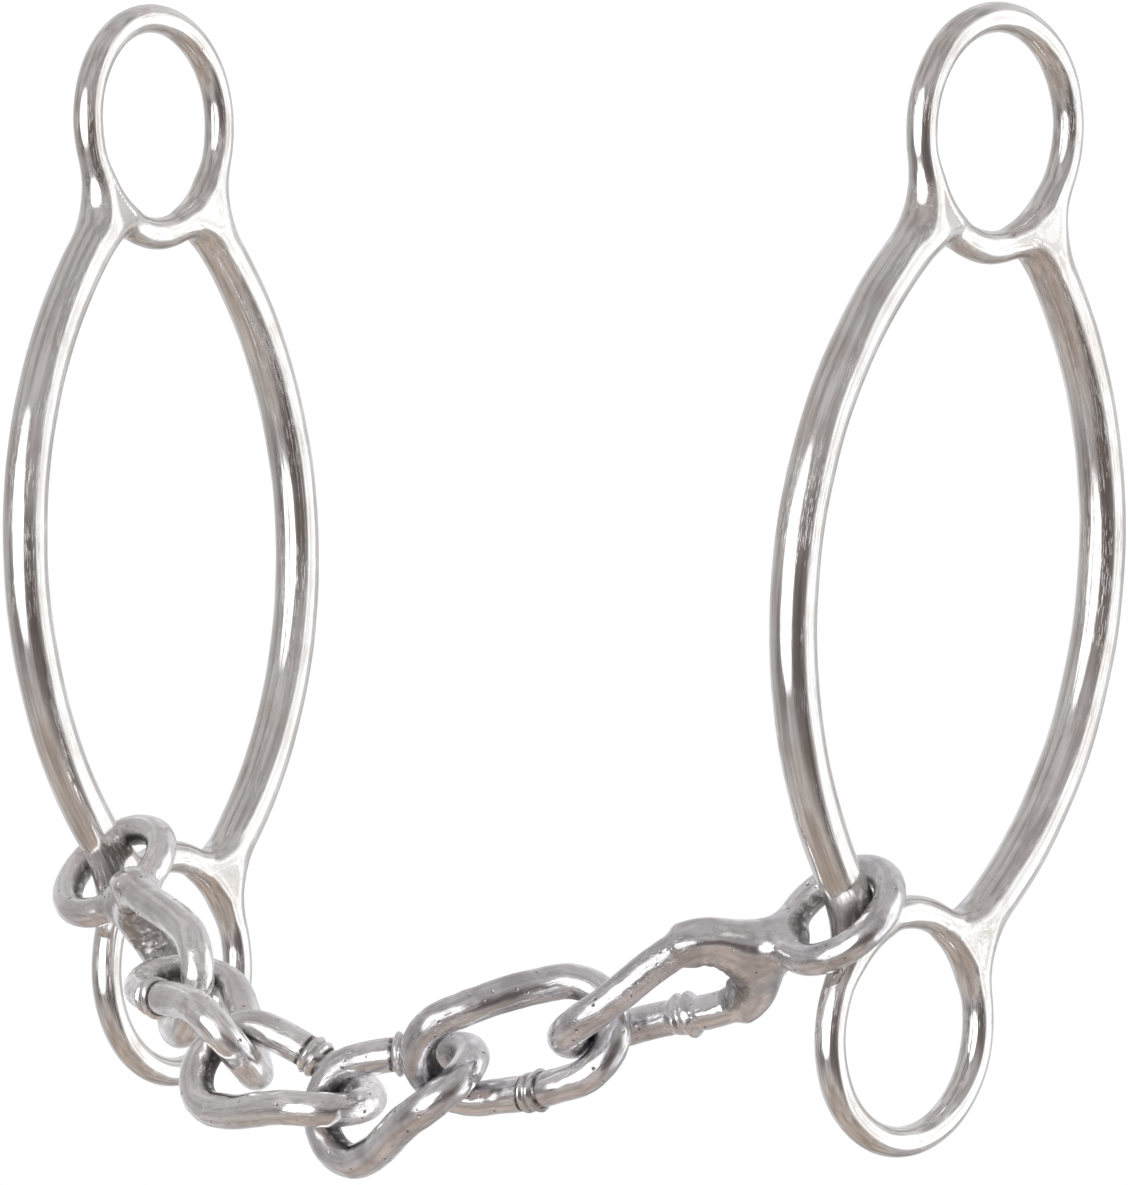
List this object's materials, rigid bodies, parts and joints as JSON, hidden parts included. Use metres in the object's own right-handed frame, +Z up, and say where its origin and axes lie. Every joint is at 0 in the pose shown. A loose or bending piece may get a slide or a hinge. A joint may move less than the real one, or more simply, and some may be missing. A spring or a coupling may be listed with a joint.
{
  "type": "chain mouth loop bit",
  "caption": "Horse bit with a twisted chain mouth whose end eyes slide on two lens-shaped cheeks with a ring at top and bottom.",
  "frame": {"origin": "centre of the right headstall ring's hole, the ring that a bridle strap would hold", "axes": "+X along the mouth from the left cheek to the right one, +Y to the rear, +Z up"},
  "size_m": [0.1438, 0.0747, 0.1422],
  "materials": {
    "polished_steel": "polished by hand, with fine lengthwise scratches and ground weld corners",
    "tumbled_steel": "tumbled satin, lightly pitted, with raised weld creases"
  },
  "bodies": {
    "right_cheek": {"right_headstall_ring": "polished_steel", "right_rein_ring": "polished_steel", "right_front_bar": "polished_steel", "right_rear_bar": "polished_steel"},
    "right_mouth_end": {"right_mouth_eye": "tumbled_steel", "right_mouth_loop": "tumbled_steel"},
    "link_4": {"chain_link_4": "tumbled_steel"},
    "link_3": {"chain_link_3": "tumbled_steel"},
    "link_2": {"chain_link_2": "tumbled_steel"},
    "link_1": {"chain_link_1": "tumbled_steel"},
    "left_mouth_end": {"left_mouth_eye": "tumbled_steel", "left_mouth_loop": "tumbled_steel"},
    "left_cheek": {"left_headstall_ring": "polished_steel", "left_rein_ring": "polished_steel", "left_front_bar": "polished_steel", "left_rear_bar": "polished_steel"}
  },
  "joints": [
    {"name": "right_eye_slide", "type": "hinge", "parent": "right_cheek", "child": "right_mouth_end", "pos_m": [-0.00007, 0.02537, -0.0559], "axis": [-0.9982, 0.0546, 0.0261], "range_deg": [0, 84]},
    {"name": "link_4_swing", "type": "hinge", "parent": "right_mouth_end", "child": "link_4", "pos_m": [-0.031, -0.0291, -0.1087], "axis": [0, 0, 1], "range_deg": [-14, 50]},
    {"name": "link_3_swing", "type": "hinge", "parent": "link_4", "child": "link_3", "pos_m": [-0.0523, -0.0378, -0.1153], "axis": [0, 0, -1], "range_deg": [-2, 50]},
    {"name": "link_2_swing", "type": "hinge", "parent": "link_3", "child": "link_2", "pos_m": [-0.07181, -0.03507, -0.11889], "axis": [0, 0, 1], "range_deg": [-40, 40]},
    {"name": "link_1_swing", "type": "hinge", "parent": "link_2", "child": "link_1", "pos_m": [-0.0901, -0.0338, -0.1101], "axis": [0, 0, -1], "range_deg": [-3, 44]},
    {"name": "left_mouth_end_swing", "type": "hinge", "parent": "link_1", "child": "left_mouth_end", "pos_m": [-0.10087, -0.02587, -0.10419], "axis": [0, 0, -1], "range_deg": [-40, 40]},
    {"name": "left_eye_slide", "type": "hinge", "parent": "left_mouth_end", "child": "left_cheek", "pos_m": [-0.13606, 0.03261, -0.05255], "axis": [-0.9974, -0.0556, -0.0451], "range_deg": [-84, 0]}
  ],
  "couplings": [
    {"joint": "left_eye_slide", "follows": "right_eye_slide", "ratio": -1}
  ]
}
